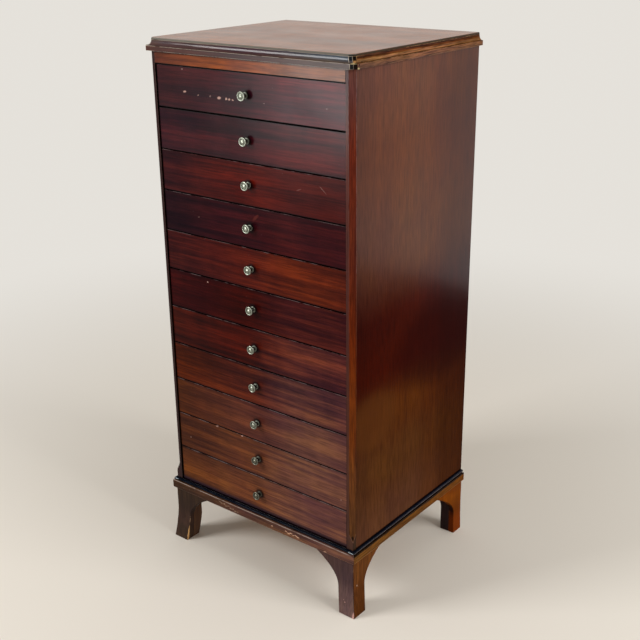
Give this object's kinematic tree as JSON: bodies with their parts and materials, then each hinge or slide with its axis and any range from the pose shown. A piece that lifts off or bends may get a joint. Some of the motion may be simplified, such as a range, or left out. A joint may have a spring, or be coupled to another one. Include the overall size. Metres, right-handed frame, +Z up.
{
  "type": "sheet music cabinet",
  "caption": "Tall narrow cabinet of shallow full-width drawers with round metal knobs, a canted cove-moulded top, chamfered corners and splayed bracket feet, made to hold sheet music flat.",
  "frame": {"origin": "on the floor, in the middle of the whole footprint, with the knobs and splayed feet counted", "axes": "+X to the right seen from the front, +Y to the back, +Z up; the drawer fronts face -Y"},
  "size_m": [0.5208, 0.431, 1.132],
  "materials": {
    "mahogany_top": "old gloss polish",
    "mahogany_moulding": "old gloss polish",
    "mahogany_case": "old gloss polish",
    "mahogany_drawers": "old gloss polish",
    "mahogany_feet": "worn polish",
    "ebonised_wood": "gloss black stain",
    "secondary_wood": "bare, aged",
    "drawer_linings": "bare, aged",
    "aged_brass": "aged, satin"
  },
  "bodies": {
    "carcass": {"top_board": "mahogany_top", "top_moulding_front": "mahogany_moulding", "top_moulding_left": "mahogany_moulding", "top_moulding_right": "mahogany_moulding", "side_panel_left": "mahogany_case", "side_panel_right": "mahogany_case", "front_stile_left": "mahogany_case", "front_stile_right": "mahogany_case", "top_rail": "mahogany_case", "base_rail": "mahogany_case", "bottom_board": "secondary_wood", "back_boards": "secondary_wood", "drawer_runners_left": "secondary_wood", "drawer_runners_right": "secondary_wood", "glue_blocks": "secondary_wood", "base_bead": "ebonised_wood", "base_moulding_front": "mahogany_moulding", "base_moulding_left": "mahogany_moulding", "base_moulding_right": "mahogany_moulding", "foot_front_left_face": "mahogany_feet", "foot_front_left_side": "mahogany_feet", "foot_front_right_face": "mahogany_feet", "foot_front_right_side": "mahogany_feet", "foot_rear_left_side": "mahogany_feet", "foot_rear_left_brace": "mahogany_feet", "foot_rear_right_side": "mahogany_feet", "foot_rear_right_brace": "mahogany_feet"},
    "drawer_01": {"drawer_01_front": "mahogany_drawers", "drawer_01_box": "drawer_linings", "drawer_01_knob": "aged_brass"},
    "drawer_02": {"drawer_02_front": "mahogany_drawers", "drawer_02_box": "drawer_linings", "drawer_02_knob": "aged_brass"},
    "drawer_03": {"drawer_03_front": "mahogany_drawers", "drawer_03_box": "drawer_linings", "drawer_03_knob": "aged_brass"},
    "drawer_04": {"drawer_04_front": "mahogany_drawers", "drawer_04_box": "drawer_linings", "drawer_04_knob": "aged_brass"},
    "drawer_05": {"drawer_05_front": "mahogany_drawers", "drawer_05_box": "drawer_linings", "drawer_05_knob": "aged_brass"},
    "drawer_06": {"drawer_06_front": "mahogany_drawers", "drawer_06_box": "drawer_linings", "drawer_06_knob": "aged_brass"},
    "drawer_07": {"drawer_07_front": "mahogany_drawers", "drawer_07_box": "drawer_linings", "drawer_07_knob": "aged_brass"},
    "drawer_08": {"drawer_08_front": "mahogany_drawers", "drawer_08_box": "drawer_linings", "drawer_08_knob": "aged_brass"},
    "drawer_09": {"drawer_09_front": "mahogany_drawers", "drawer_09_box": "drawer_linings", "drawer_09_knob": "aged_brass"},
    "drawer_10": {"drawer_10_front": "mahogany_drawers", "drawer_10_box": "drawer_linings", "drawer_10_knob": "aged_brass"},
    "drawer_11": {"drawer_11_front": "mahogany_drawers", "drawer_11_box": "drawer_linings", "drawer_11_knob": "aged_brass"}
  },
  "joints": [
    {"name": "drawer_01_slide", "type": "slide", "parent": "carcass", "child": "drawer_01", "axis": [0, -1, 0], "range_m": [0, 0.3]},
    {"name": "drawer_02_slide", "type": "slide", "parent": "carcass", "child": "drawer_02", "axis": [0, -1, 0], "range_m": [0, 0.3]},
    {"name": "drawer_03_slide", "type": "slide", "parent": "carcass", "child": "drawer_03", "axis": [0, -1, 0], "range_m": [0, 0.3]},
    {"name": "drawer_04_slide", "type": "slide", "parent": "carcass", "child": "drawer_04", "axis": [0, -1, 0], "range_m": [0, 0.3]},
    {"name": "drawer_05_slide", "type": "slide", "parent": "carcass", "child": "drawer_05", "axis": [0, -1, 0], "range_m": [0, 0.3]},
    {"name": "drawer_06_slide", "type": "slide", "parent": "carcass", "child": "drawer_06", "axis": [0, -1, 0], "range_m": [0, 0.3]},
    {"name": "drawer_07_slide", "type": "slide", "parent": "carcass", "child": "drawer_07", "axis": [0, -1, 0], "range_m": [0, 0.3]},
    {"name": "drawer_08_slide", "type": "slide", "parent": "carcass", "child": "drawer_08", "axis": [0, -1, 0], "range_m": [0, 0.3]},
    {"name": "drawer_09_slide", "type": "slide", "parent": "carcass", "child": "drawer_09", "axis": [0, -1, 0], "range_m": [0, 0.3]},
    {"name": "drawer_10_slide", "type": "slide", "parent": "carcass", "child": "drawer_10", "axis": [0, -1, 0], "range_m": [0, 0.3]},
    {"name": "drawer_11_slide", "type": "slide", "parent": "carcass", "child": "drawer_11", "axis": [0, -1, 0], "range_m": [0, 0.3]}
  ]
}
